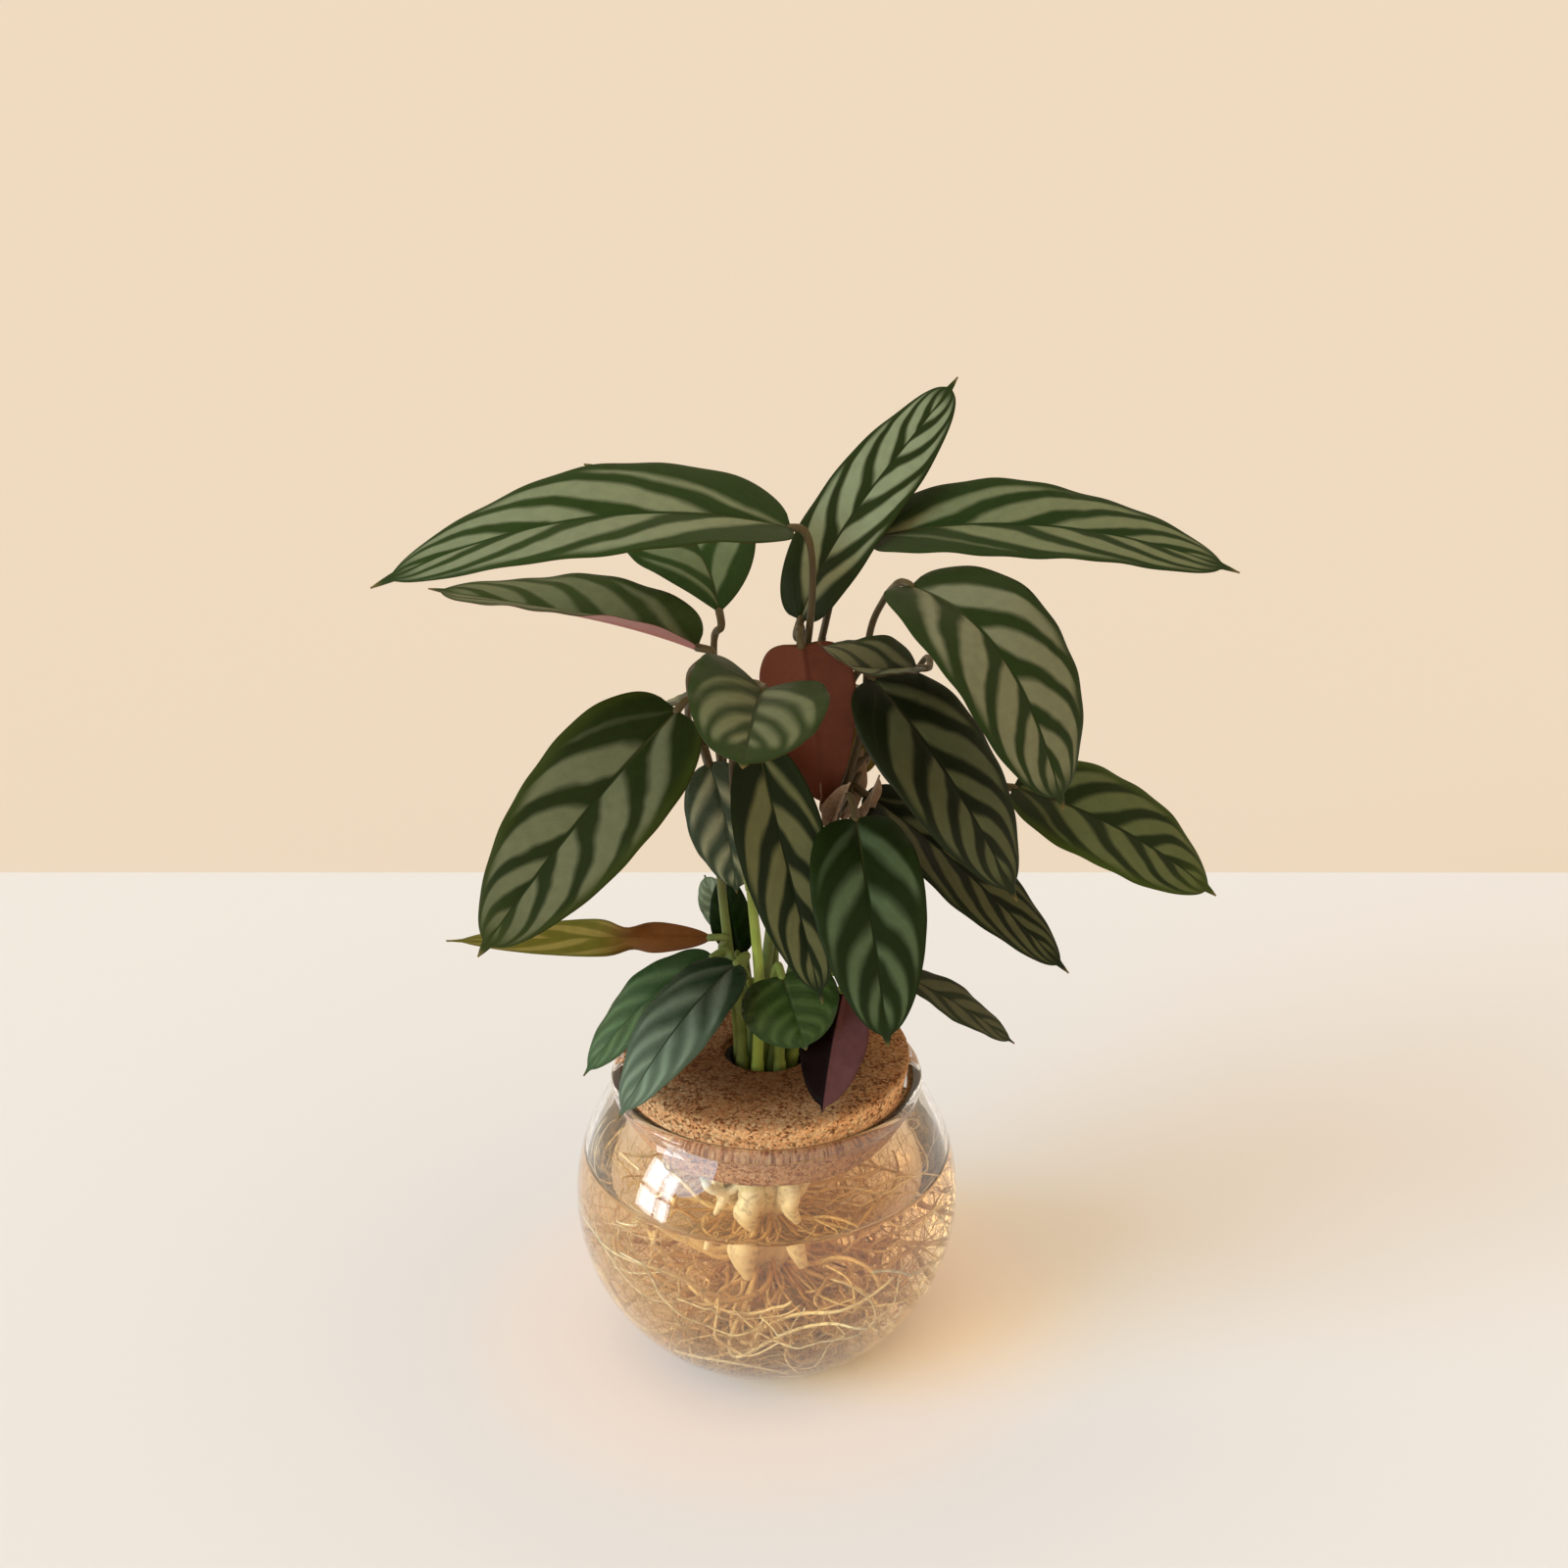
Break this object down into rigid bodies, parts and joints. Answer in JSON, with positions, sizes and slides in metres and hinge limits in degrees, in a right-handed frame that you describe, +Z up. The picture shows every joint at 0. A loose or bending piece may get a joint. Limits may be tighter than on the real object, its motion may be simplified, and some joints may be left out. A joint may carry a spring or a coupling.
{
  "type": "potted never never plant",
  "caption": "Young striped-leaf never never plant growing in water in a round clear glass bowl with a cork lid.",
  "frame": {"origin": "middle of the bowl's flat foot, on the surface it stands on", "axes": "+Z up along the bowl's axis, +X to the right as seen from the front, +Y to the back"},
  "size_m": [0.3105, 0.2166, 0.3865],
  "materials": {
    "clear_glass": "clear blown glass with a fire-polished lip",
    "water": "clear water, faintly brown from the roots",
    "cork": "pressed cork granules, raw",
    "foam": "matt black soft foam",
    "root": "wet cream and tan roots and stem bases",
    "stem": "olive green smooth stems with papery sheaths",
    "striped_leaf": "satin leaf, grey-green bands on dark green, reddish underneath",
    "young_leaf": "glossy dark green young leaf with faint bands",
    "turned_leaf": "leaf that shows its reddish-brown underside",
    "purple_leaf": "small leaf that shows its purple underside",
    "old_leaf": "old leaf, yellow-green to brown"
  },
  "bodies": {
    "root": {"glass_bowl": "clear_glass", "water": "water", "cork_lid": "cork", "foam_collar": "foam", "crown_and_roots": "root", "cane_left": "stem", "cane_front": "stem", "cane_centre": "stem", "cane_node": "stem", "cane_right": "stem", "cane_back_left": "stem", "cane_rim": "stem", "cane_front_right": "stem", "cane_low_right": "stem", "cane_small": "stem", "cane_back": "stem", "leaf_upper_left": "striped_leaf", "leaf_upper_left_under": "striped_leaf", "leaf_back_left_top": "striped_leaf", "leaf_top": "striped_leaf", "leaf_upper_right": "striped_leaf", "leaf_right_front": "striped_leaf", "leaf_right_shaded": "striped_leaf", "leaf_right_folded": "striped_leaf", "leaf_mid_right": "striped_leaf", "leaf_low_right": "striped_leaf", "leaf_front_right": "striped_leaf", "leaf_front_centre": "striped_leaf", "leaf_heart": "striped_leaf", "leaf_left_front": "striped_leaf", "leaf_twisted": "old_leaf", "leaf_over_rim": "young_leaf", "leaf_over_rim_back": "young_leaf", "leaf_rim_dark": "purple_leaf", "leaf_small_dark": "young_leaf", "leaf_small_round_back": "young_leaf", "leaf_left_inner": "young_leaf", "leaf_small_round_front": "young_leaf", "leaf_purple_hanging": "purple_leaf", "leaf_small_right": "striped_leaf", "leaf_hanging_back": "turned_leaf", "leaf_mustard": "old_leaf", "leaf_back_left": "striped_leaf", "leaf_back_middle": "striped_leaf", "leaf_back_right": "striped_leaf"}
  },
  "joints": []
}
